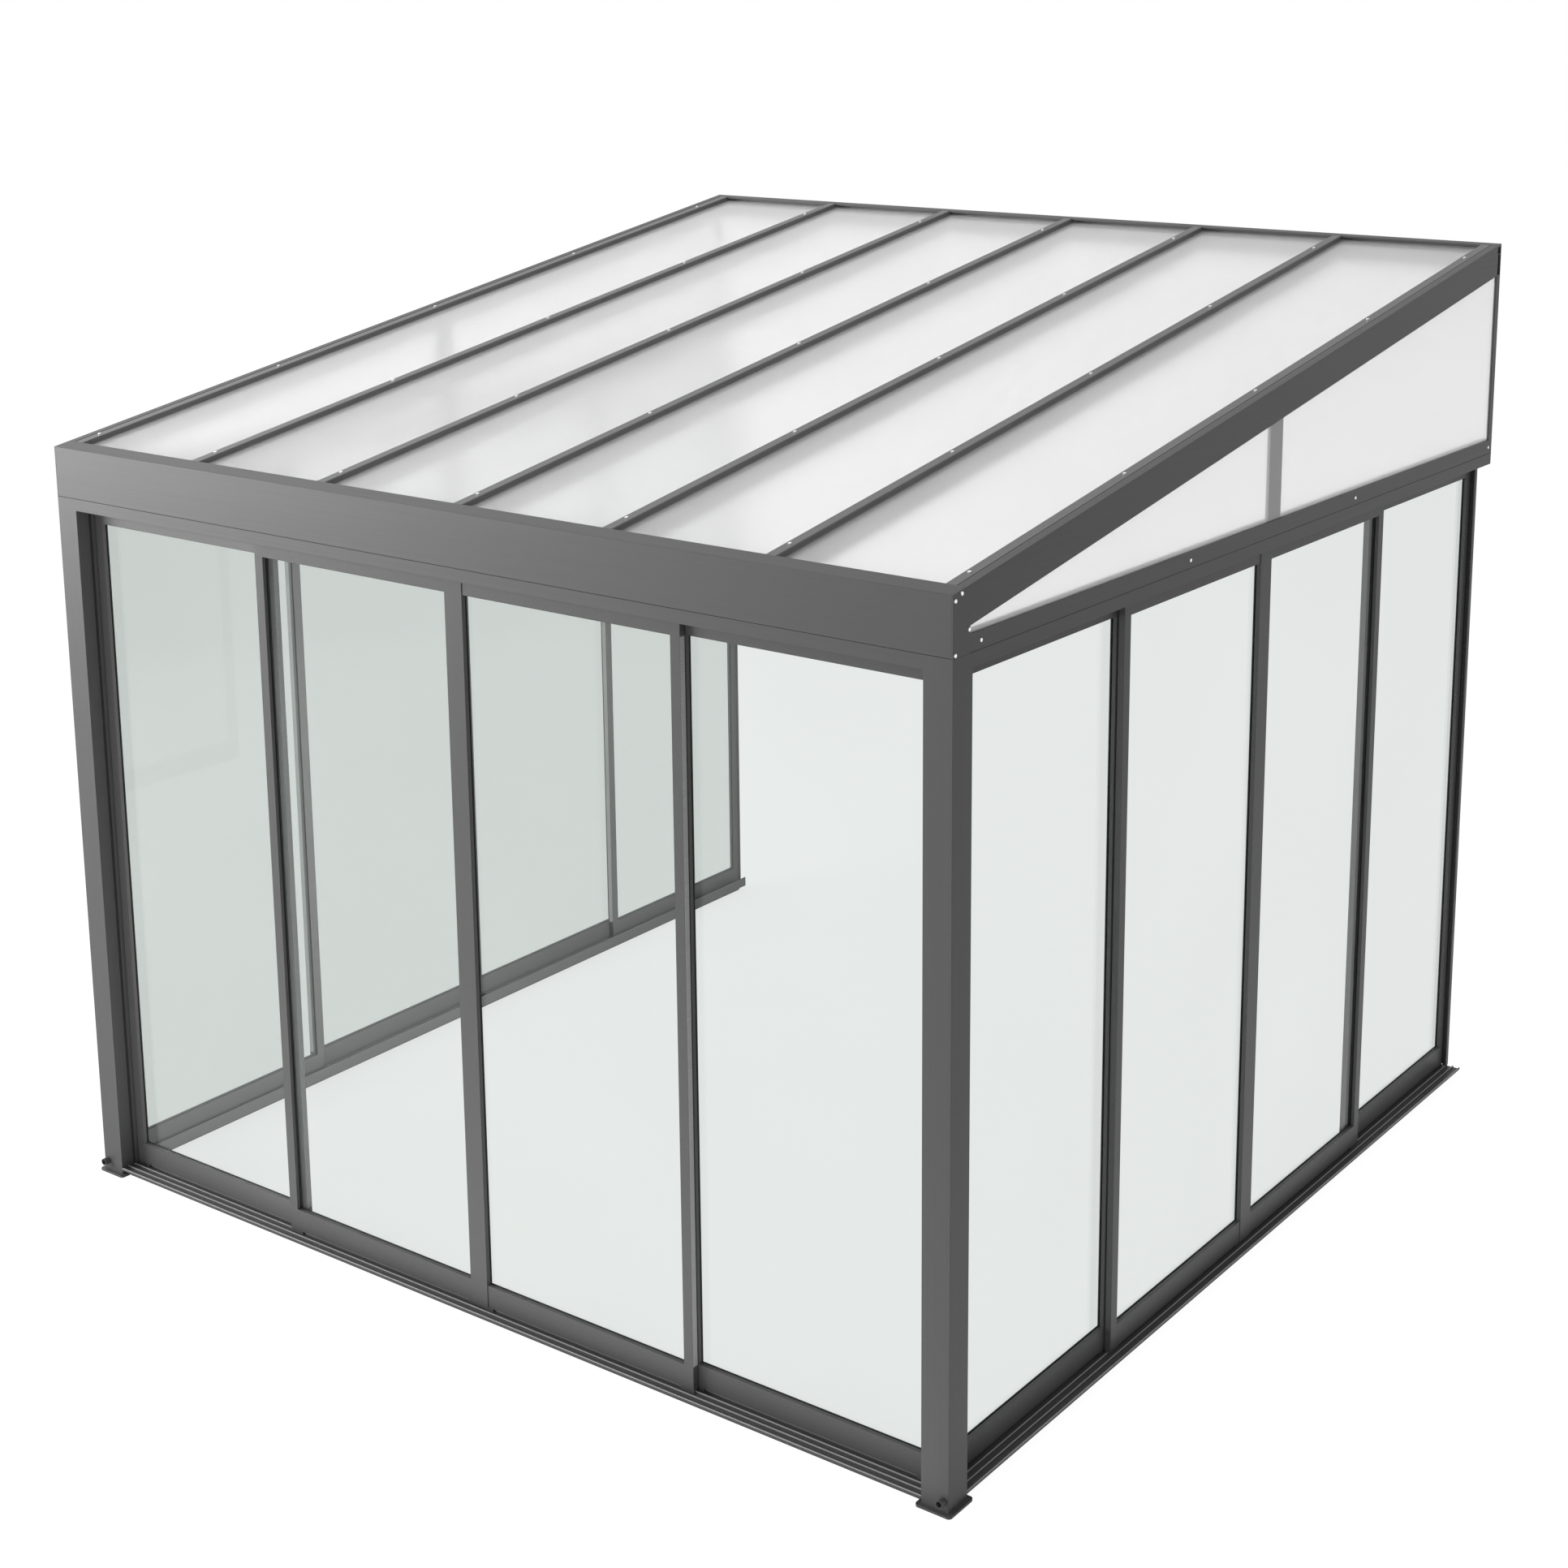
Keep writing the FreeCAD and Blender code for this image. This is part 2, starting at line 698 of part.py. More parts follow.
# Gables: a frosted wedge on each side beam, a stud behind it and an upright against the house wall.
gable_outline = [
    (gutter_back, beam_top),
    (wall_face, beam_top),
    (wall_face, rafter_foot(wall_face) - gap),
    (gutter_back, rafter_foot(gutter_back) - gap),
]
gable_panel = bar("gable_panel", "x", size["gable_thick"], gable_outline)
gable_out = half_width - size["gable_inset"]
place(gable_panel, x=gable_out - size["gable_thick"])
both_sides("gable_panels", in_frame("right_gable_panel", gable_panel))
stud_low = (gutter_back + depth - size["stud_width"]) / 2
stud_high = stud_low + size["stud_width"]
stud_outline = [
    (stud_low, beam_top),
    (stud_high, beam_top),
    (stud_high, rafter_foot(stud_high)),
    (stud_low, rafter_foot(stud_low)),
]
stud = bar("stud", "x", size["stud_depth"], stud_outline)
gable_in = gable_out - size["gable_thick"]
place(stud, x=gable_in - size["stud_depth"])
upright_bar = block("upright_bar", (gable_in, wall_face, beam_top), (half_width, depth, beam_low))
both_sides("gable_uprights", in_frame("right_gable_uprights", group("gable_bars", [stud, upright_bar])))

# Tracks: a comb of three ridges in the sill carries the doors, and three fins in the head guide them.
# A screen, which is one glazed wall, is made along x about its middle, with y inwards from its face.
track_lines = [size["track_middle"] + i * size["track_pitch"] for i in (-1, 0, 1)]
ridge_half = size["ridge_thick"] / 2
sill_floor = size["sill_base"] + wall
foot_width = size["sill_foot_width"]
fin_base = gutter_base - size["fin_drop"]
head_web = gutter_base - wall


def comb(outer, floor, tips, inner_lip):
    """An outline of two side walls and three teeth on a floor: outer is the flat side of the floor."""
    corners = [(0, outer), (0, inner_lip), (wall, inner_lip), (wall, floor)]
    for line in track_lines:
        corners += [(line - ridge_half, floor), (line - ridge_half, tips)]
        corners += [(line + ridge_half, tips), (line + ridge_half, floor)]
    return corners + [(post - wall, floor), (post - wall, inner_lip), (post, inner_lip), (post, outer)]


def head_track(name, span):
    outline = comb(gutter_base, head_web, fin_base, head_base)
    return place(bar(name, "x", span, outline), x=-span / 2)


def sill(name, span):
    """The lower track, with two feet under it that stop short of the base plates."""
    outline = comb(size["sill_base"], sill_floor, size["sill_top"], size["sill_top"])
    tray = place(bar(f"{name}_tray", "x", span, outline), x=-span / 2)
    foot_end = span / 2 - margin - wall
    feet = [
        block(f"{name}_foot_{i}", (-foot_end, low, 0), (foot_end, low + foot_width, size["sill_base"]))
        for i, low in enumerate((size["sill_foot_first"], size["sill_foot_second"]), 1)
    ]
    return fuse(name, [tray, *feet])


def upstand(name, span):
    """A flat strip along the sill's inner side, which hides the doors' feet from the room."""
    low = (-span / 2, post, size["sill_base"])
    return block(name, low, (span / 2, post + size["upstand_thick"], size["upstand_top"]))


front_span = size["width"] - 2 * post
side_span = depth - post
side_middle = front + post + side_span / 2


def on_right(name, piece):
    """A piece of a side screen, turned to stand on the right-hand side."""
    return copy(name, piece, x=half_width, y=side_middle, turn=90)


def on_left(name, right_piece):
    """The image of a right-hand piece, one track further out: the left-hand doors stand there."""
    return copy(name, mirrored(f"{name}_image", right_piece), x=-size["track_pitch"])


node("front_head_track", in_frame("front_head_track", head_track("front_head_bar", front_span)))
# The front strip fits between those of the sides.
front_strip = upstand("front_upstand", front_span - 2 * size["upstand_thick"])
front_sill = group("front_sill_pieces", [sill("front_sill_bar", front_span), front_strip])
node("front_sill", in_frame("front_sill", front_sill))
both_sides("side_head_tracks", on_right("right_head_track", head_track("side_head_bar", side_span)))
side_sill = group("side_sill_pieces", [sill("side_sill_bar", side_span), upstand("side_upstand", side_span)])
both_sides("side_sills", on_right("right_sill", side_sill))

# Jambs: strips on the posts and angles on the house wall that the outermost doors close against.
jamb_thick = size["jamb_thick"]
jamb_low = size["sill_top"]
jamb_front = size["jamb_front"]
post_jamb_front = size["post_jamb_front"]
jamb_height = head_base - jamb_low
side_end = side_span / 2
cover_start = side_end - size["jamb_cover"]
jamb_outline = [
    (cover_start, jamb_front),
    (side_end, jamb_front),
    (side_end, post),
    (side_end - jamb_thick, post),
    (side_end - jamb_thick, jamb_front + size["jamb_flange"]),
    (cover_start, jamb_front + size["jamb_flange"]),
]
wall_jamb = place(bar("wall_jamb", "z", jamb_height, jamb_outline), z=jamb_low)
jamb_hole_y = (jamb_front + size["jamb_flange"] + post) / 2
jamb_holes = [
    rod(
        f"jamb_hole_{i}",
        "x",
        size["jamb_hole_radius"],
        3 * jamb_thick,
        (side_end - 2 * jamb_thick, jamb_hole_y, jamb_low + jamb_height * share),
    )
    for i, share in enumerate((0.125, 0.375, 0.625, 0.875), 1)
]
right_wall_jamb = on_right("right_wall_jamb", cut("wall_jamb_drilled", wall_jamb, jamb_holes))
node("wall_jambs", group("wall_jambs", [right_wall_jamb, on_left("left_wall_jamb", right_wall_jamb)]))


def post_jamb(name, span):
    return block(name, (-span / 2, post_jamb_front, jamb_low), (jamb_thick - span / 2, post, head_base))


def post_seal(name, span):
    low = (-span / 2, post_jamb_front - size["seal_width"], jamb_low)
    return block(name, low, (size["seal_height"] - span / 2, post_jamb_front, head_base))


right_side_jamb = on_right("right_side_jamb", post_jamb("side_jamb", side_span))
front_left_jamb = in_frame("front_left_jamb", post_jamb("front_jamb", front_span))
left_jambs = [front_left_jamb, on_left("left_side_jamb", right_side_jamb)]
right_jambs = [right_side_jamb, mirrored("front_right_jamb", front_left_jamb)]
node("post_jambs", group("post_jambs", left_jambs + right_jambs))

# Brush seals: black pile strips beside the jambs.
wall_seal_low = (cover_start, jamb_front + size["jamb_flange"], jamb_low)
wall_seal_high = (cover_start + size["seal_width"], wall_seal_low[1] + size["wall_seal_reach"], head_base)
wall_seal = on_right("right_wall_seal", block("wall_seal", wall_seal_low, wall_seal_high))
side_seal = on_right("right_side_seal", post_seal("side_seal", side_span))
front_seal = in_frame("front_left_seal", post_seal("front_seal", front_span))
left_seals = [on_left("left_wall_seal", wall_seal), on_left("left_side_seal", side_seal)]
front_seals = [front_seal, mirrored("front_right_seal", front_seal)]
node("brush_seals", group("brush_seals", [wall_seal, side_seal, *left_seals, *front_seals]))

# Doors: four to a screen. Each has two rails, two stiles, a glass pane and four nylon end blocks that
# run on the sill's ridge and round the head's fin. The outer two stand on the inner track and the
# middle pair on the middle track, where a flat strip on one door covers the seam between the two. On
# the left all four stand one track further out. A door is made from x = 0, with y inwards from its face.
thick = size["door_thick"]
skin = size["door_wall"]
bite = size["glass_bite"]
slot_front = size["glass_setback"]
slot_back = slot_front + size["glass_thick"] + 2 * gap
rail_low = size["door_base"]
rail_high = rail_low + size["bottom_rail"]
top_high = fin_base - size["top_rail_gap"]
top_low = top_high - size["top_rail"]
plate = size["block_plate"]
fit = size["screw_gap"]
ridge_y = thick / 2
groove_half = ridge_half + size["groove_gap"]
ridge_top = size["sill_top"] + gap
foot_low = size["sill_top"] - size["foot_reach"]


def slotted(edge, slot_floor, far_edge):
    """Corners (y, height) of a rail whose glass slot opens at edge and reaches to slot_floor."""
    slot = [(slot_back, edge), (slot_back, slot_floor), (slot_front, slot_floor), (slot_front, edge)]
    return [(0, far_edge), (thick, far_edge), (thick, edge), *slot, (0, edge)]


def meeting_strip(name, edge):
    """A flat strip over the two stiles that meet at edge: fast to the first, just clear of the second."""
    stile, front = size["stile_width"], -size["strip_thick"]
    own, far = edge - stile, edge + size["meeting_gap"] + stile
    outline = [(own, front), (far, front), (far, -gap), (edge, -gap), (edge, 0), (own, 0)]
    strip = bar(name, "z", top_high - rail_low, outline)
    place(strip, z=rail_low)
    return strip


def door_frame(name, door_width, *strips):
    """Two rails between the end blocks' plates, and two stiles of the door's full width between them."""
    rail_length = door_width - 2 * plate
    rails = [
        bar(
            f"{name}_bottom_rail",
            "x",
            rail_length,
            slotted(rail_high, rail_high - bite, rail_low),
            rectangle(skin, rail_low + skin, thick - skin, rail_high - bite - skin),
        ),
        bar(
            f"{name}_top_rail",
            "x",
            rail_length,
            slotted(top_low, top_low + bite, top_high),
            rectangle(skin, top_low + bite + skin, thick - skin, top_high - skin),
        ),
    ]
    for rail in rails:
        place(rail, x=plate)
    stile = size["stile_width"]
    stile_section = [(x, y) for y, x in slotted(stile, stile - bite, 0)]
    stile_chamber = rectangle(skin, skin, stile - bite - skin, thick - skin)
    left_stile = bar(f"{name}_left_stile", "z", top_low - rail_high, stile_section, stile_chamber)
    place(left_stile, z=rail_high)
    right_stile = mirrored(f"{name}_right_stile", left_stile, door_width / 2)
    return group(name, [*rails, left_stile, right_stile, *strips])


def door_glass(name, door_width):
    side = size["stile_width"] - bite + gap
    low = (side, slot_front + gap, rail_high - bite + gap)
    return block(name, low, (door_width - side, slot_back - gap, top_low + bite - gap))


def end_block(name, rail_ends, plug_ends, foot_ends, groove_ends):
    """A plate over a rail's end, a plug in the rail's chamber and a foot whose groove fits a ridge."""
    (low, high), (plug_low, plug_high) = rail_ends, plug_ends
    (foot_bottom, foot_top), (groove_low, groove_high) = foot_ends, groove_ends
    inset_y = size["foot_inset"]
    plug_side = skin + fit
    solid = fuse(
        f"{name}_solid",
        [
            block(f"{name}_plate", (0, 0, low), (plate, thick, high)),
            block(
                f"{name}_plug",
                (0, plug_side, plug_low + skin + fit),
                (plate + size["block_plug"], thick - plug_side, plug_high - skin - fit),
            ),
            block(f"{name}_foot", (0, inset_y, foot_bottom), (size["block_foot"], thick - inset_y, foot_top)),
        ],
    )
    groove = block(
        f"{name}_groove",
        (-plate, ridge_y - groove_half, groove_low),
        (size["block_foot"] + plate, ridge_y + groove_half, groove_high),
    )
    return cut(name, solid, [groove])


def end_blocks(name, door_width):
    lower = end_block(
        f"{name}_lower",
        (rail_low, rail_high),
        (rail_low, rail_high - bite),
        (foot_low, rail_low),
        (foot_low - plate, ridge_top),
    )
    upper = end_block(
        f"{name}_upper",
        (top_low, top_high),
        (top_low + bite, top_high),
        (top_high, top_high + size["fork_rise"]),
        (fin_base - gap, top_high + size["fork_rise"] + plate),
    )
    middle = door_width / 2
    images = [mirrored(f"{name}_image_{i}", piece, middle) for i, piece in enumerate((lower, upper), 1)]
    return group(name, [lower, upper, *images])


def door_starts(span, door_width, shift):
    """Where each of the four doors starts along its screen, and the track that it stands on."""
    half_gap = size["meeting_gap"] / 2
    end = span / 2 - size["door_end_gap"]
    return [
        (-end, track_lines[2]),
        (shift - half_gap - door_width, track_lines[1]),
        (shift + half_gap, track_lines[1]),
        (end - door_width, track_lines[2]),
    ]


def screen_doors(screen, span, shift):
    """The three pieces of each door of one screen, by name, in the screen's own place."""
    door_width = (span - 2 * size["door_end_gap"] + 2 * size["door_overlap"]) / 4
    pieces = {
        "frame": door_frame(f"{screen}_frame", door_width),
        "glass": door_glass(f"{screen}_glass", door_width),
        "end_blocks": end_blocks(f"{screen}_blocks", door_width),
    }
    strip = meeting_strip(f"{screen}_strip", door_width)
    meeting_door = pieces | {"frame": door_frame(f"{screen}_strip_frame", door_width, strip)}
    doors = [pieces, meeting_door, pieces, pieces]
    return [
        (f"door_{number}_{kind}", copy(f"{screen}_{number}_{kind}", piece, x=x, y=track - ridge_y))
        for number, (x, track) in enumerate(door_starts(span, door_width, shift), 1)
        for kind, piece in doors[number - 1].items()
    ]


for door_name, piece in screen_doors("front", front_span, size["front_pair_shift"]):
    node(f"front_{door_name}", in_frame(f"front_{door_name}", piece))
for door_name, piece in screen_doors("side", side_span, size["side_pair_shift"]):
    right_piece = node(f"right_{door_name}", on_right(f"right_{door_name}", piece))
    node(f"left_{door_name}", on_left(f"left_{door_name}", right_piece))

doc.recompute()
failed = [thing.Name for thing in doc.Objects if {"Invalid", "Error"} & set(thing.State)]
failed += [piece.Label for piece in nodes if piece.Shape.isNull() or not piece.Shape.isValid()]
if failed:
    raise RuntimeError(f"these objects failed: {failed}")

os.makedirs("parts", exist_ok=True)
for piece in nodes:
    piece.Shape.exportStep(f"parts/{piece.Label}.step")
print(len(nodes), "nodes,", sum(len(piece.Shape.Solids) for piece in nodes), "solids")
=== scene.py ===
import bmesh
import bpy
import numpy as np
from mathutils import Matrix, Vector


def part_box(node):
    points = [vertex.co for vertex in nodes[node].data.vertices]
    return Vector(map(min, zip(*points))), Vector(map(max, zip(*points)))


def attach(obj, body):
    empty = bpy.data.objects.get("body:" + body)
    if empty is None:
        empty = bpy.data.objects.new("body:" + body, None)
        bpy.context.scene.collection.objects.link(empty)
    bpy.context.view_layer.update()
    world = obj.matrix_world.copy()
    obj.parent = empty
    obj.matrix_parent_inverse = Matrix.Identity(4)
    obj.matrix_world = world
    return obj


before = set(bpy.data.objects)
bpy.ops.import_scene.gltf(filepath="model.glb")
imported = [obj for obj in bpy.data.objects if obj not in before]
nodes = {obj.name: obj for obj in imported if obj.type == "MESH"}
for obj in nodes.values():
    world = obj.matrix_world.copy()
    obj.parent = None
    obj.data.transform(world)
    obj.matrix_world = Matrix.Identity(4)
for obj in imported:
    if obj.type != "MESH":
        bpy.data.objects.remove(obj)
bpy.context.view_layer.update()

# Posts: two square hollow extrusions that carry the gutter's ends. They are aluminium, drawn
# through a die and then powder coated dark grey, which leaves faint lines along their length.


def colour(hex_text):
    """Linear colour of an sRGB hex text: each channel over 255, then the sRGB curve undone."""
    share = np.array([int(hex_text[i:i + 2], 16) for i in (1, 3, 5)]) / 255
    linear = np.where(share <= 0.04045, share / 12.92, ((share + 0.055) / 1.055) ** 2.4)
    return (*linear.tolist(), 1.0)


def put(tree, kind, sockets=(), **settings):
    """Adds one shader node. Settings are its own options. Each socket takes a plain value, or
    the output of an earlier node, which is then linked to it."""
    node = tree.nodes.new("ShaderNode" + kind)
    for name, value in settings.items():
        setattr(node, name, value)
    for name, value in dict(sockets).items():
        if isinstance(value, bpy.types.NodeSocket):
            tree.links.new(value, node.inputs[name])
        else:
            node.inputs[name].default_value = value
    return node


def new_tree(name):
    """An empty material of that name, and its node tree."""
    material = bpy.data.materials.new(name)
    material.use_nodes = True
    material.node_tree.nodes.clear()
    return material, material.node_tree


def coated_aluminium(name, stretch, turn=(0, 0, 0), low="#424242", high="#464646",
                     edge_radius=0.0012):
    """Powder coated extruded aluminium. stretch has the pattern's repeats per metre along each
    axis: few along the profile, many across it, so that the die lines follow its length."""
    material, tree = new_tree(name)
    place = put(tree, "TexCoord").outputs["Object"]
    along = put(tree, "Mapping", {"Vector": place, "Rotation": turn, "Scale": stretch})
    lines = put(tree, "TexNoise", {"Vector": along.outputs[0], "Scale": 1.0, "Detail": 3.0})
    # Powder grains are about 0.1 mm across. They are drawn at 3 mm, the finest the picture holds.
    grain = put(tree, "TexNoise", {"Vector": place, "Scale": 330.0, "Detail": 2.0})
    both = put(tree, "Mix", {"Factor": 0.4, "A": lines.outputs[0], "B": grain.outputs[0]})
    grey = put(tree, "ValToRGB", {"Fac": both.outputs[0]})
    grey.color_ramp.elements[0].position, grey.color_ramp.elements[1].position = 0.3, 0.7
    grey.color_ramp.elements[0].color = colour(low)
    grey.color_ramp.elements[1].color = colour(high)
    satin = put(tree, "MapRange", {"Value": both.outputs[0], "From Min": 0.3, "From Max": 0.7,
                                   "To Min": 0.46, "To Max": 0.40})
    # The coat rounds every edge over by a millimetre or so, which draws a light line along it.
    edge = put(tree, "Bevel", {"Radius": edge_radius}, samples=4)
    skin = put(tree, "Bump", {"Strength": 0.03, "Distance": 0.0005, "Height": grain.outputs[0],
                              "Normal": edge.outputs[0]})
    paint = put(tree, "BsdfPrincipled", {
        "Base Color": grey.outputs[0], "Roughness": satin.outputs[0],
        "Specular IOR Level": 0.2, "Normal": skin.outputs[0]})
    put(tree, "OutputMaterial", {"Surface": paint.outputs[0]})
    return material


def jointed(material, height, reach=0.0006):
    """Shades a coat within reach of a height, in metres, where another profile is fitted: little
    light gets into such a joint, so that it shows as a fine dark line."""
    tree = material.node_tree
    place = put(tree, "TexCoord").outputs["Object"]
    here = put(tree, "SeparateXYZ", {"Vector": place}).outputs["Z"]
    near = put(tree, "Math", {0: here, 1: height, 2: reach}, operation="COMPARE")
    # The joint's shade is painted on: a dark diffuse coat within reach of the height.
    painted_joint_shade = put(tree, "BsdfDiffuse", {"Color": colour("#1e1e1e")})
    shown = put(tree, "MixShader", {0: near.outputs[0], 2: painted_joint_shade.outputs[0],
                                    1: tree.nodes["Principled BSDF"].outputs[0]})
    tree.links.new(shown.outputs[0], tree.nodes["Material Output"].inputs["Surface"])
    return material


def dress(material, *names):
    """Gives each CAD node of these names that material."""
    for name in names:
        for slot in nodes[name].material_slots:
            slot.material = material


# Die lines are finer than a millimetre. They are drawn 4 mm apart, and half a metre long.
lines_across, lines_along = 260, 2
gutter_base = 2.0675
upright_lines = (lines_across, lines_across, lines_along)
upright_coat = coated_aluminium("powder_coat_upright", upright_lines)
post_coat = jointed(coated_aluminium("powder_coat_post", upright_lines), gutter_base)
dress(post_coat, "left_post", "right_post")

# Base plates: a 6 mm aluminium plate under each post, cut out with rounded corners, drilled for
# two floor anchors and coated like the post it is welded to.

# Rolled plate has no die lines, so its shades spread evenly, about 8 mm apart.
even = 120
plate_coat = coated_aluminium("powder_coat_plate", (even, even, even))
dress(plate_coat, "base_plates")

# Drain spouts and gutter outlets: charcoal nylon mouldings. The outlets lead rain from the gutter
# into the posts, and the spouts let it out at the foot. The mould's fine spark texture scatters
# light, so that they look matt.


def moulded_nylon(name, low, high):
    """Moulded nylon between two greys, with a fine sparked mould texture."""
    material, tree = new_tree(name)
    place = put(tree, "TexCoord").outputs["Object"]
    # Spark pits are about 0.1 mm across. They are drawn at 2 mm, the finest the picture holds.
    spark = put(tree, "TexNoise", {"Vector": place, "Scale": 500.0, "Detail": 3.0})
    charcoal = put(tree, "ValToRGB", {"Fac": spark.outputs[0]})
    charcoal.color_ramp.elements[0].color = colour(low)
    charcoal.color_ramp.elements[1].color = colour(high)
    matt = put(tree, "MapRange", {"Value": spark.outputs[0], "To Min": 0.5, "To Max": 0.65})
    edge = put(tree, "Bevel", {"Radius": 0.0006}, samples=4)
    skin = put(tree, "Bump", {"Strength": 0.1, "Distance": 0.0003, "Height": spark.outputs[0],
                              "Normal": edge.outputs[0]})
    nylon = put(tree, "BsdfPrincipled", {
        "Base Color": charcoal.outputs[0], "Roughness": matt.outputs[0],
        "Specular IOR Level": 0.35, "Normal": skin.outputs[0]})
    put(tree, "OutputMaterial", {"Surface": nylon.outputs[0]})
    return material


charcoal_nylon = moulded_nylon("charcoal_nylon_moulded", "#39393a", "#434344")
dress(charcoal_nylon, "drain_spouts", "gutter_outlets")

# Gutter: a deep trough of long aluminium profiles along the front, closed by an end cap at each
# end. The end caps are cut from sheet and screwed on. The trough's edges are rounder than others.

width_lines = (lines_along, lines_across, lines_across)
gutter_coat = coated_aluminium("powder_coat_gutter", width_lines, edge_radius=0.003)
dress(jointed(gutter_coat, gutter_base), "gutter")
dress(plate_coat, "gutter_end_caps")

# Wall beam: the hollow aluminium profile that is bolted to the house wall and holds the upper
# ends of the rafters and roof sheets.

dress(coated_aluminium("powder_coat_across", width_lines), "wall_beam")

# Rafters and their caps: hollow aluminium profiles that run down the slope. A cap strip clamps
# the sheets' edges on each rafter, and the outer rafters' sides are the sloping fascias.

roof_pitch = np.radians(9.6)
depth_lines = (lines_across, lines_along, lines_across)
down_slope = (roof_pitch, 0, 0)
slope_coat = coated_aluminium("powder_coat_slope", depth_lines, down_slope)
dress(slope_coat, "end_rafters", "inner_rafters")
# The caps' coat is painted lighter than the others: painted light on their sky-facing tops.
cap_coat_painted_light = coated_aluminium("powder_coat_cap_painted_light", depth_lines, down_slope, "#5d5d5d", "#636363")
dress(cap_coat_painted_light, "rafter_caps")

# Roof sheets: six frosted sheets, cast with a white pigment and roughened, so that light comes
# through but what lies under them shows only as soft grey shades.


def frosted_sheet(name, milk_low, milk_high, ior, rough_low, rough_high):
    """Frosted plastic sheet: a milky body between two whites that passes most of the light."""
    material, tree = new_tree(name)
    place = put(tree, "TexCoord").outputs["Object"]
    # The pigment gathers in clouds about a third of a metre across.
    cloud = put(tree, "TexNoise", {"Vector": place, "Scale": 3.0, "Detail": 2.0})
    milk = put(tree, "ValToRGB", {"Fac": cloud.outputs[0]})
    milk.color_ramp.elements[0].color = colour(milk_low)
    milk.color_ramp.elements[1].color = colour(milk_high)
    frost = put(tree, "MapRange", {"Value": cloud.outputs[0],
                                   "To Min": rough_low, "To Max": rough_high})
    sheet = put(tree, "BsdfPrincipled", {
        "Base Color": milk.outputs[0], "Roughness": frost.outputs[0],
        "Transmission Weight": 0.75, "IOR": ior})
    # Daylight passes the sheet and spreads in the room, so it lets the lamps' light through.
    passing = put(tree, "BsdfTransparent", {"Color": colour("#f0f0f0")})
    light = put(tree, "LightPath")
    lit = put(tree, "MixShader", {0: light.outputs["Is Shadow Ray"], 1: sheet.outputs[0],
                                  2: passing.outputs[0]})
    put(tree, "OutputMaterial", {"Surface": lit.outputs[0]})
    return material


roof_sheet = frosted_sheet("frosted_sheet_roof", "#e7e7e7", "#ededed", 1.2, 0.17, 0.23)
dress(roof_sheet, "roof_panels")

# Screws: bright zinc plated steel, with domed heads. Five hold each cap strip, and others hold
# the gutter's end caps and the side beams. The plating is slightly cloudy.


def plated_steel(name, low, high, shine_low, shine_high):
    """Plated steel: a metal whose plating clouds between two greys and two degrees of shine."""
    material, tree = new_tree(name)
    place = put(tree, "TexCoord").outputs["Object"]
    # The plating's clouds are about 5 mm across.
    cloud = put(tree, "TexNoise", {"Vector": place, "Scale": 220.0, "Detail": 2.0})
    plate = put(tree, "ValToRGB", {"Fac": cloud.outputs[0]})
    plate.color_ramp.elements[0].color = colour(low)
    plate.color_ramp.elements[1].color = colour(high)
    shine = put(tree, "MapRange", {"Value": cloud.outputs[0],
                                   "To Min": shine_low, "To Max": shine_high})
    metal = put(tree, "BsdfPrincipled", {
        "Base Color": plate.outputs[0], "Metallic": 1.0, "Roughness": shine.outputs[0]})
    put(tree, "OutputMaterial", {"Surface": metal.outputs[0]})
    return material


zinc = plated_steel("zinc_plated_steel", "#ececee", "#f8f8f8", 0.24, 0.36)
dress(zinc, "roof_screws", "frame_screws")

# Side beams and gables: an aluminium beam over each side's doors carries a frosted gable sheet,
# with a stud behind it and an upright against the wall.

depth_coat = jointed(coated_aluminium("powder_coat_depth", depth_lines), gutter_base)
dress(depth_coat, "side_beams")
dress(upright_coat, "gable_uprights")
gable_sheet = frosted_sheet("frosted_sheet_gable", "#f6f6f6", "#fcfcfc", 1.45, 0.14, 0.2)
dress(gable_sheet, "gable_panels")

# Head tracks and sills: aluminium profiles with three fins above and three ridges below, which
# guide the doors, and a flat strip along each sill's inner side. The ridges' tops are painted a
# little brighter, a painted highlight where light catches them.


def ridge_highlight_coat(name, stretch, axis, middle, reach=0.039, highlight_low=0.0225, highlight_high=0.0245):
    """Coated aluminium with a painted highlight on the ridges' tops, where light catches them: it
    grows between the two given heights up the ridges, within reach of the sill's middle, which
    stands that far from the room's middle along the axis."""
    material = coated_aluminium(name, stretch)
    tree = material.node_tree
    place = put(tree, "TexCoord").outputs["Object"]
    apart = put(tree, "SeparateXYZ", {"Vector": place})
    high = put(tree, "MapRange", {"Value": apart.outputs["Z"], "From Min": highlight_low,
                                  "From Max": highlight_high})
    aside = put(tree, "Math", {0: apart.outputs[axis]}, operation="ABSOLUTE")
    tracks = put(tree, "Math", {0: aside.outputs[0], 1: middle, 2: reach}, operation="COMPARE")
    ridge_highlight = put(tree, "Math", {0: high.outputs[0], 1: tracks.outputs[0]}, operation="MULTIPLY")
    paint = tree.nodes["Principled BSDF"]
    coat = paint.inputs["Base Color"].links[0].from_socket
    # Painted highlight: the ridges' tops are mixed towards a light grey.
    grey = put(tree, "MixRGB", {"Fac": ridge_highlight.outputs[0], "Color1": coat,
                                "Color2": colour("#989898")})
    tree.links.new(grey.outputs[0], paint.inputs["Base Color"])
    return material


front_sill_middle, side_sill_middle = 1.4435, 1.4915
head_coat = coated_aluminium("powder_coat_head", width_lines)
dress(jointed(head_coat, gutter_base), "front_head_track")
dress(depth_coat, "side_head_tracks")
front_sill_coat = ridge_highlight_coat("powder_coat_front_sill", (lines_along, even, even), "Y",
                              front_sill_middle)
dress(front_sill_coat, "front_sill")
side_sill_coat = ridge_highlight_coat("powder_coat_side_sill", (even, lines_along, even), "X",
                             side_sill_middle)
dress(side_sill_coat, "side_sills")

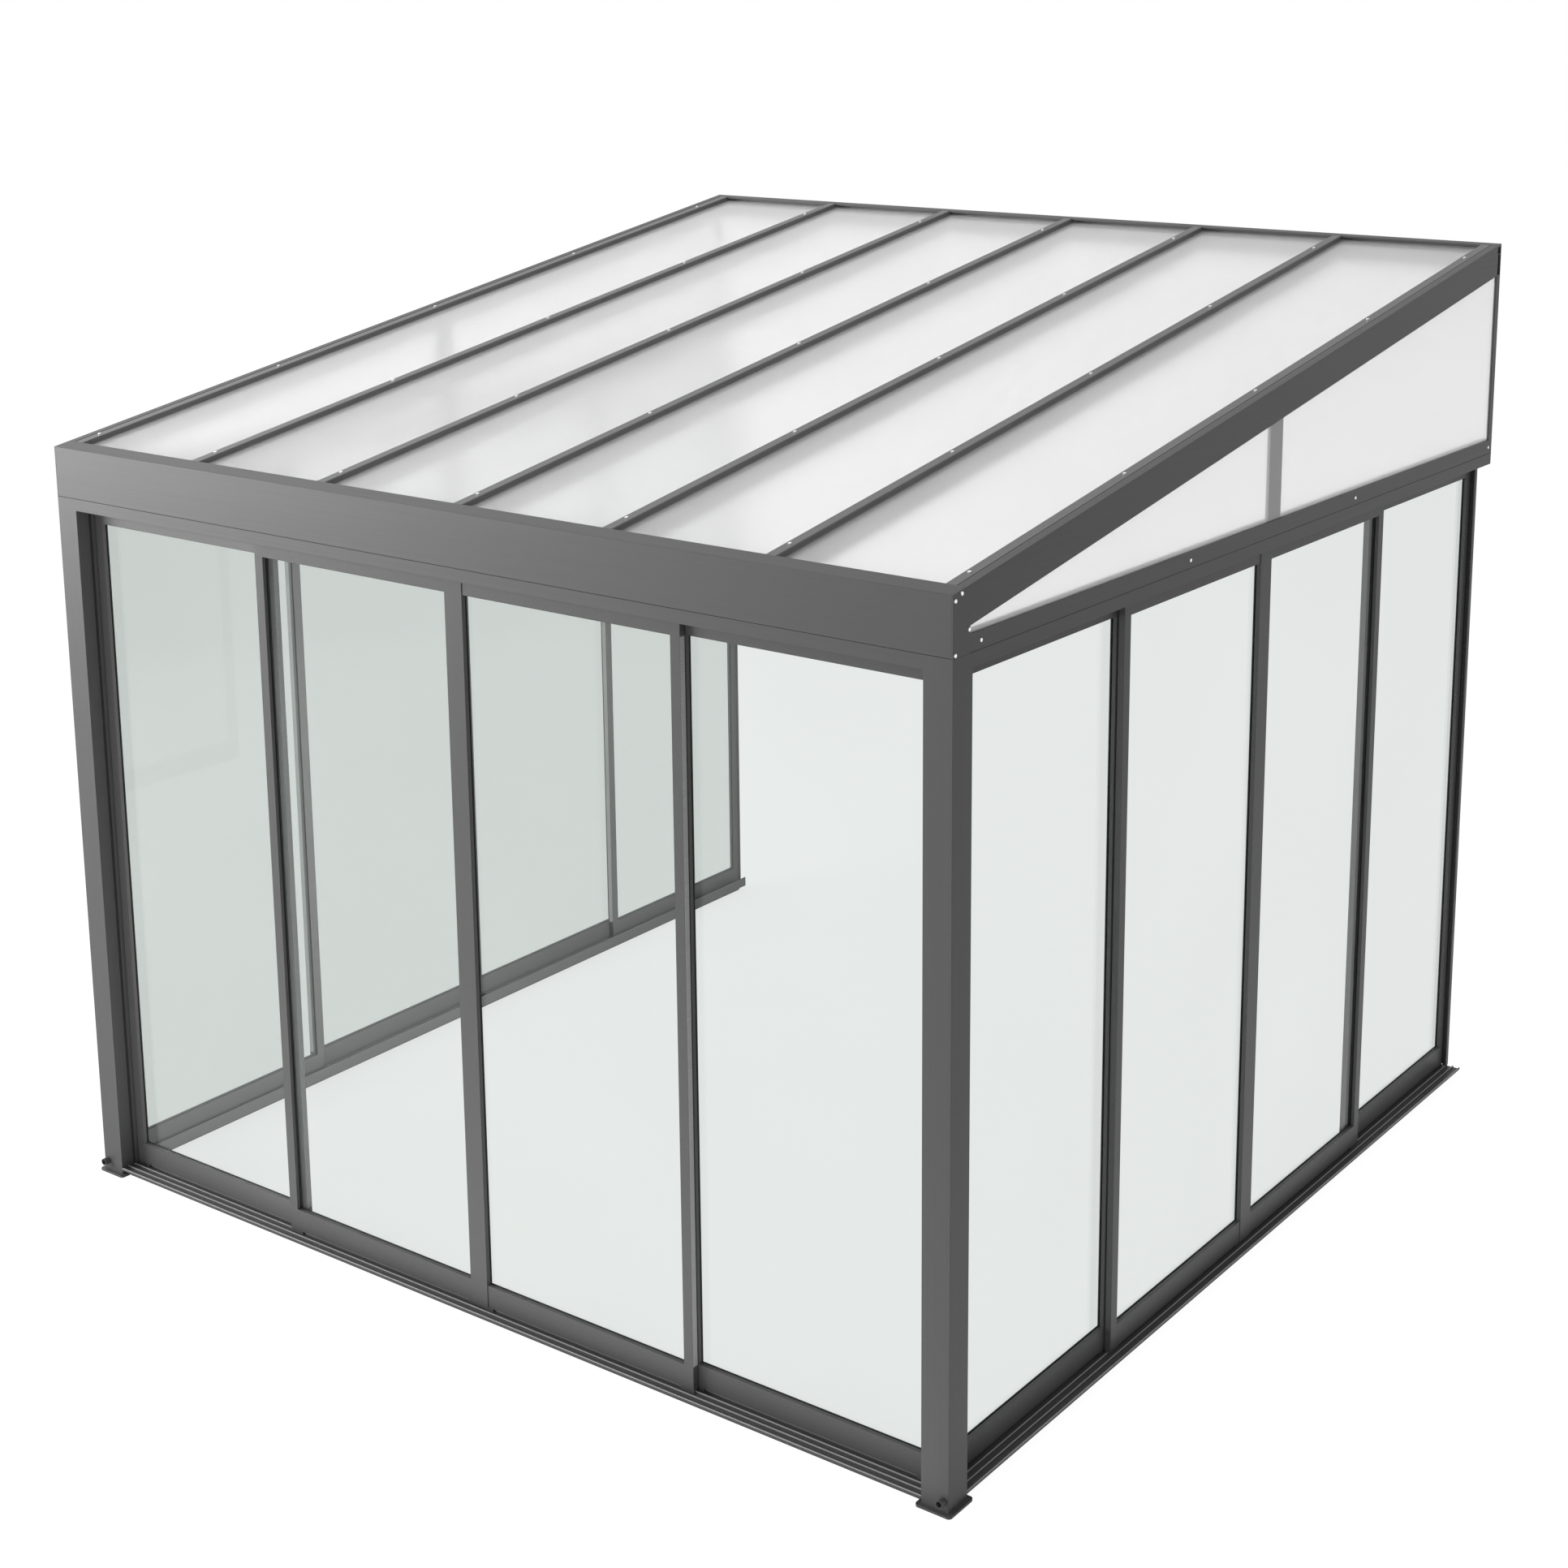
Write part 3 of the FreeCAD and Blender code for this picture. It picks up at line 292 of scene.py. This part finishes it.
# Jambs and brush seals: aluminium strips on the posts and on the wall close the doors' ends.
# The seals are black pile woven on a tape, which shows as fine lines across each strip.

dress(upright_coat, "wall_jambs", "post_jambs")


def woven_pile(name, low, high):
    """Brush pile between two greys: tufts stand side by side along the strip's height."""
    material, tree = new_tree(name)
    place = put(tree, "TexCoord").outputs["Object"]
    # Tufts are 0.8 mm apart. They are drawn at 6 mm, the finest the picture holds.
    tufts = put(tree, "TexWave", {"Vector": place, "Scale": 52.0, "Distortion": 2.0},
                bands_direction="Z")
    fibre = put(tree, "ValToRGB", {"Fac": tufts.outputs[0]})
    fibre.color_ramp.elements[0].color = colour(low)
    fibre.color_ramp.elements[1].color = colour(high)
    standing = put(tree, "Bump", {"Strength": 0.5, "Distance": 0.001,
                                  "Height": tufts.outputs[1]})
    pile = put(tree, "BsdfPrincipled", {
        "Base Color": fibre.outputs[0], "Roughness": 0.9, "Specular IOR Level": 0.2,
        "Normal": standing.outputs[0]})
    put(tree, "OutputMaterial", {"Surface": pile.outputs[0]})
    return material


dress(woven_pile("black_brush_pile", "#161616", "#343434"), "brush_seals")

# Doors: twelve sliding doors. Each has two rails and two stiles of coated aluminium, one pane of
# clear float glass in their grooves, and charcoal nylon blocks screwed into the rails' ends.


def float_glass(name, tint_low, tint_high):
    """Clear float glass: it passes light with a faint green tint and mirrors at flat angles."""
    material, tree = new_tree(name)
    place = put(tree, "TexCoord").outputs["Object"]
    # Float glass waves slowly, over two thirds of a metre.
    wave = put(tree, "TexNoise", {"Vector": place, "Scale": 1.5, "Detail": 1.0})
    tint = put(tree, "ValToRGB", {"Fac": wave.outputs[0]})
    tint.color_ramp.elements[0].color = colour(tint_low)
    tint.color_ramp.elements[1].color = colour(tint_high)
    ripple = put(tree, "Bump", {"Strength": 0.02, "Distance": 0.002, "Height": wave.outputs[0]})
    through = put(tree, "BsdfTransparent", {"Color": tint.outputs[0]})
    mirror = put(tree, "BsdfGlossy", {"Roughness": 0.02, "Normal": ripple.outputs[0]})
    # A face mirrors 3% of light straight on and nearly all of it at the flattest angle.
    slant = put(tree, "LayerWeight", {"Blend": 0.5})
    steep = put(tree, "Math", {0: slant.outputs["Facing"], 1: 5.0}, operation="POWER")
    share = put(tree, "MapRange", {"Value": steep.outputs[0], "To Min": 0.03, "To Max": 0.9})
    both = put(tree, "MixShader", {0: share.outputs[0], 1: through.outputs[0],
                                   2: mirror.outputs[0]})
    put(tree, "OutputMaterial", {"Surface": both.outputs[0]})
    return material


door_coat = coated_aluminium("powder_coat_door", (even, even, even))
glass = float_glass("clear_float_glass", "#eff1f0", "#f1f3f2")
doors = [f"{side}_door_{number}" for side in ("front", "left", "right") for number in range(1, 5)]
for door in doors:
    dress(door_coat, door + "_frame")
    dress(glass, door + "_glass")
    dress(charcoal_nylon, door + "_end_blocks")

# Door brushes: two doors of each screen have a strip of light grey pile up the edge that is on the
# right seen from outside. It is pressed into the stile and stands up a quarter of a millimetre.


def new_piece(name, corners, faces, material, body):
    """A mesh object of these corners and faces, turned outwards, that rides on a body."""
    mesh = bpy.data.meshes.new(name)
    mesh.from_pydata(corners.tolist(), [], faces.tolist())
    skin = bmesh.new()
    skin.from_mesh(mesh)
    bmesh.ops.remove_doubles(skin, verts=skin.verts, dist=1e-7)
    bmesh.ops.recalc_face_normals(skin, faces=skin.faces)
    skin.to_mesh(mesh)
    skin.free()
    mesh.materials.append(material)
    piece = bpy.data.objects.new(name, mesh)
    bpy.context.scene.collection.objects.link(piece)
    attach(piece, body)
    return piece


def door_end(door, side):
    """Where a door ends: the axis that it slides along, its edge's place on that axis on the side
    -1 or 1, and the middle of the edge across the door."""
    low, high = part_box(door + "_end_blocks")
    slide, thickness = (0, 1) if door.startswith("front") else (1, 0)
    edge = high[slide] if side > 0 else low[slide]
    return slide, edge, (low[thickness] + high[thickness]) / 2


def edge_brush(door, side, foot=0.0938, head=1.9897, width=0.0166, proud=0.00025, root=0.0003,
               rows=80, crown=9, waver=190):
    """A low domed strip up a door's edge. Across it the pile stands up by proud times one less four
    fifths of the fourth power of the share of its half width. Along it the tips waver by a tenth of
    that, as a sine of the height times waver. Its flat back lies root deep in the stile."""
    slide, edge, middle = door_end(door, side)
    share = np.linspace(-1, 1, crown)
    heights = np.linspace(foot, head, rows)
    tips = proud * (1 - 0.8 * share ** 4) * (1 + 0.1 * np.sin(heights * waver))[:, None]
    rise = np.concatenate([tips, np.full((rows, 2), -root)], axis=1)
    spread = np.concatenate([share, [1, -1]]) * width / 2
    ring = crown + 2
    corners = np.zeros((rows, ring, 3))
    corners[..., slide] = edge + side * rise
    corners[..., 1 - slide] = middle + spread
    corners[..., 2] = heights[:, None]
    row, step = np.meshgrid(np.arange(rows - 1), np.arange(ring), indexing="ij")
    after = (step + 1) % ring
    quads = np.stack([row * ring + step, row * ring + after, (row + 1) * ring + after,
                      (row + 1) * ring + step], axis=-1).reshape(-1, 4)
    fan = np.arange(1, ring - 1)
    lower = np.stack([np.zeros_like(fan), fan, fan + 1], axis=-1)
    upper = lower + (rows - 1) * ring
    faces = np.concatenate([quads[:, [0, 1, 2]], quads[:, [0, 2, 3]], lower, upper])
    return new_piece(f"{door}_brush", corners.reshape(-1, 3), faces, grey_pile, door)


grey_pile = woven_pile("grey_brush_pile", "#858585", "#9a9a9a")
for door in ("front_door_1", "front_door_3", "right_door_1", "right_door_3"):
    edge_brush(door, 1)
for door in ("left_door_2", "left_door_4"):
    edge_brush(door, -1)

# End block screws: dark steel screws with low domed heads hold the end blocks in the rails, two
# in a lower block and one in an upper block. They are blackened, so that they hardly shine.


def screw_heads(door, side, turns=12):
    """Three heads on one end of a door: a profile of radius and height, turned about the axis that
    the door slides along, with a small socket in the middle."""
    slide, edge, middle = door_end(door, side)
    radius = np.array([0.0, 2.8, 2.8, 2.3, 1.3, 1.0, 0.9, 0.0]) / 1000
    rise = np.array([-0.5, -0.5, 0.1, 0.5, 0.62, 0.6, 0.2, 0.2]) / 1000
    angle = np.arange(turns) * 2 * np.pi / turns
    heights = np.array([0.045, 0.078, 2.017])
    corners = np.zeros((len(heights), len(radius), turns, 3))
    corners[..., slide] = edge + side * rise[:, None]
    corners[..., 1 - slide] = middle + radius[:, None] * np.cos(angle)
    corners[..., 2] = heights[:, None, None] + radius[:, None] * np.sin(angle)
    head, ring, step = np.meshgrid(np.arange(len(heights)), np.arange(len(radius) - 1),
                                   np.arange(turns), indexing="ij")
    after = (step + 1) % turns
    base = (head * len(radius) + ring) * turns
    quads = np.stack([base + step, base + after, base + turns + after, base + turns + step],
                     axis=-1).reshape(-1, 4)
    faces = np.concatenate([quads[:, [0, 1, 2]], quads[:, [0, 2, 3]]])
    name = f"{door}_screws_{'far' if side > 0 else 'near'}"
    return new_piece(name, corners.reshape(-1, 3), faces, dark_steel, door)


dark_steel = plated_steel("blackened_steel", "#48484a", "#5a5a5c", 0.45, 0.6)
# The two middle doors meet, so those ends have no room for heads.
meeting_ends = ((2, 1), (3, -1))
for door in doors:
    for side in (-1, 1):
        if (int(door[-1]), side) not in meeting_ends:
            screw_heads(door, side)

# Floor: a plain white studio floor, which keeps the soft shadow of the room on it.

floor_half = 40.0
floor_mesh = bpy.data.meshes.new("studio_floor")
floor_mesh.from_pydata([(-floor_half, -floor_half, 0), (floor_half, -floor_half, 0),
                        (floor_half, floor_half, 0), (-floor_half, floor_half, 0)],
                       [], [(0, 1, 2, 3)])
studio_floor = bpy.data.objects.new("studio_floor", floor_mesh)
bpy.context.scene.collection.objects.link(studio_floor)


def seen_share(tree):
    """One for a ray that sees the surface straight, mirrored or through glass, and nought for one
    that carries its light to the room."""
    ray = put(tree, "LightPath")
    mirrored = put(tree, "Math", {0: ray.outputs["Is Camera Ray"],
                                  1: ray.outputs["Is Glossy Ray"]}, operation="MAXIMUM")
    through = put(tree, "Math", {0: mirrored.outputs[0],
                                 1: ray.outputs["Is Transmission Ray"]}, operation="MAXIMUM")
    return through.outputs[0]


floor_paint, tree = new_tree("studio_floor_paint")
matt_white = put(tree, "BsdfDiffuse", {"Color": colour("#fafafa")})
shaded = put(tree, "BsdfDiffuse", {"Color": colour("#5c5c5c")})
glow = put(tree, "Emission", {"Color": colour("#ffffff"), "Strength": 0.95})
lifted = put(tree, "AddShader", {0: shaded.outputs[0], 1: glow.outputs[0]})
shown = put(tree, "MixShader", {0: seen_share(tree), 1: matt_white.outputs[0],
                                2: lifted.outputs[0]})
put(tree, "OutputMaterial", {"Surface": shown.outputs[0]})
floor_mesh.materials.append(floor_paint)

# Light: an even pale sky, with a broad soft lamp from the front left, one overhead and a weak one
# from the front right, so that the gutter and the left post shine most and the right side lies in
# the shade.

world = bpy.data.worlds.new("studio_sky")
bpy.context.scene.world = world
world.use_nodes = True
tree = world.node_tree
tree.nodes.clear()
white = put(tree, "Background", {"Color": colour("#ffffff"), "Strength": 1.0})
sky = put(tree, "Background", {"Color": colour("#fdfdfd"), "Strength": 0.52})
chosen = put(tree, "MixShader", {0: seen_share(tree), 1: sky.outputs[0], 2: white.outputs[0]})
put(tree, "OutputWorld", {"Surface": chosen.outputs[0]})


def soft_lamp(name, place, aim, width, height, watts):
    """A rectangular lamp of that width and height at a place, facing a point."""
    lamp = bpy.data.lights.new(name, "AREA")
    lamp.shape, lamp.size, lamp.size_y, lamp.energy = "RECTANGLE", width, height, watts
    holder = bpy.data.objects.new(name, lamp)
    bpy.context.scene.collection.objects.link(holder)
    back = (Vector(place) - Vector(aim)).normalized()
    holder.matrix_world = (Matrix.Translation(place)
                           @ back.to_track_quat("Z", "Y").to_matrix().to_4x4())
    return holder


def hidden_lamp(*lamp_values):
    """A soft lamp that lights the object but is not seen, mirrored or through glass either."""
    lamp = soft_lamp(*lamp_values)
    lamp.visible_camera = lamp.visible_glossy = lamp.visible_transmission = False
    return lamp


def light_only(lamp, group, names):
    """Keeps a lamp's light to the CAD nodes of these names."""
    lit = bpy.data.collections.new(group)
    for name in names:
        lit.objects.link(nodes[name])
    lamp.light_linking.receiver_collection = lit


soft_lamp("front_left_lamp", (-6.1, -5.6, 2.5), (-0.5, -1.4, 2.3), 4.0, 3.1, 690)
soft_lamp("overhead_lamp", (-4.0, -0.5, 8.0), (0, 0, 2.4), 7.0, 7.0, 330)
soft_lamp("front_right_lamp", (3.0, -8.5, 3.0), (0.5, -1.4, 1.0), 4.0, 3.0, 150)
# The white floor throws light up at the lower rails. Two wide lamps on it stand in for that.
hidden_lamp("front_floor_lamp", (0.1, -2.23, 0.02), (0.1, -2.23, 1.0), 2.8, 1.4, 26)
hidden_lamp("side_floor_lamp", (2.27, 0.1, 0.02), (2.27, 0.1, 1.0), 1.4, 2.8, 15)
# The room's white surfaces light the left side's inner faces.
room_lamp = hidden_lamp("room_lamp", (0.6, -0.7, 1.0), (-1.5, -0.5, 0.2), 1.5, 1.5, 170)
left_frames = [f"left_door_{number}_frame" for number in range(1, 5)]
light_only(room_lamp, "lit_inside", ["side_sills", "wall_jambs"] + left_frames)
# The first front door's stile lies in the second door's shadow, and the bright floor lights it too.
door_lamp = hidden_lamp("door_lamp", (-0.45, -1.75, 1.05), (-0.72, -1.425, 1.05), 0.1, 1.7, 13)
light_only(door_lamp, "lit_behind", ["front_door_1_frame"])

# Camera: above head height off the front right corner, as the photograph was taken. The frame is
# shifted off the lens's axis, as the photograph's is.

camera = bpy.data.cameras.new("camera")
camera.lens, camera.sensor_width = 58.19, 36.0
camera.shift_x, camera.shift_y = -0.0744, -0.1619
camera.clip_end = 200.0
camera_holder = bpy.data.objects.new("camera", camera)
bpy.context.scene.collection.objects.link(camera_holder)
right = Vector((0.8179, 0.5754, 0.0005)).normalized()
back = Vector((0.562, -0.7991, 0.2133)).normalized()
up = back.cross(right).normalized()
right = up.cross(back)
turn = Matrix((right, up, back)).transposed().to_4x4()
camera_holder.matrix_world = Matrix.Translation((4.4763, -5.8672, 3.5068)) @ turn
bpy.context.scene.camera = camera_holder
bpy.context.scene.view_settings.view_transform = "Standard"
